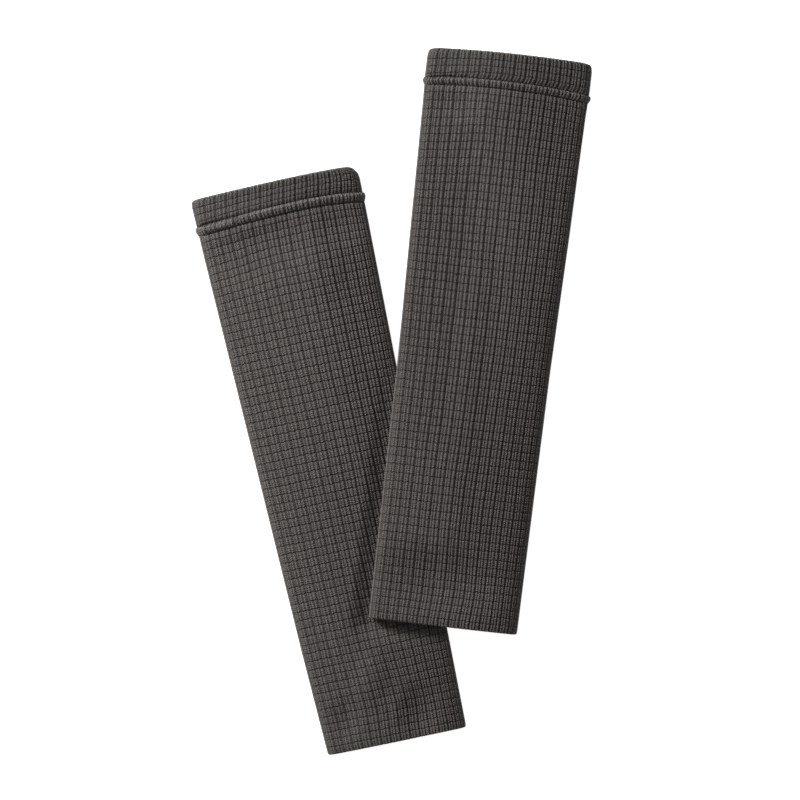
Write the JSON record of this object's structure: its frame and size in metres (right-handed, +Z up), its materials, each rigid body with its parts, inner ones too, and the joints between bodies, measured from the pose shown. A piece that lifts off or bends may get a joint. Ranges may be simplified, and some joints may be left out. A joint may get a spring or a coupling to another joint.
{
  "type": "pair of calf sleeves",
  "caption": "Knitted waffle-texture calf sleeves laid flat, one lapping over the other, each an open tube with a turned hem and a rolled tuck",
  "frame": {"origin": "middle of the pair's outline, on the flat surface that it lies on", "axes": "+X across the pair, from the left sleeve to the right one; +Y up the pair, from the feet of the sleeves to their hems; +Z up off the surface"},
  "size_m": [0.2484, 0.4384, 0.0135],
  "materials": {
    "waffle_knit": "matt charcoal waffle knit, warm dark grey",
    "tuck_knit": "matt charcoal knit rolled in a tuck",
    "hem_knit": "matt charcoal knit, turned hem of double cloth"
  },
  "bodies": {
    "root": {"left_body": "waffle_knit", "left_tuck": "tuck_knit", "left_hem": "hem_knit", "right_body": "waffle_knit", "right_tuck": "tuck_knit", "right_hem": "hem_knit"}
  },
  "joints": []
}
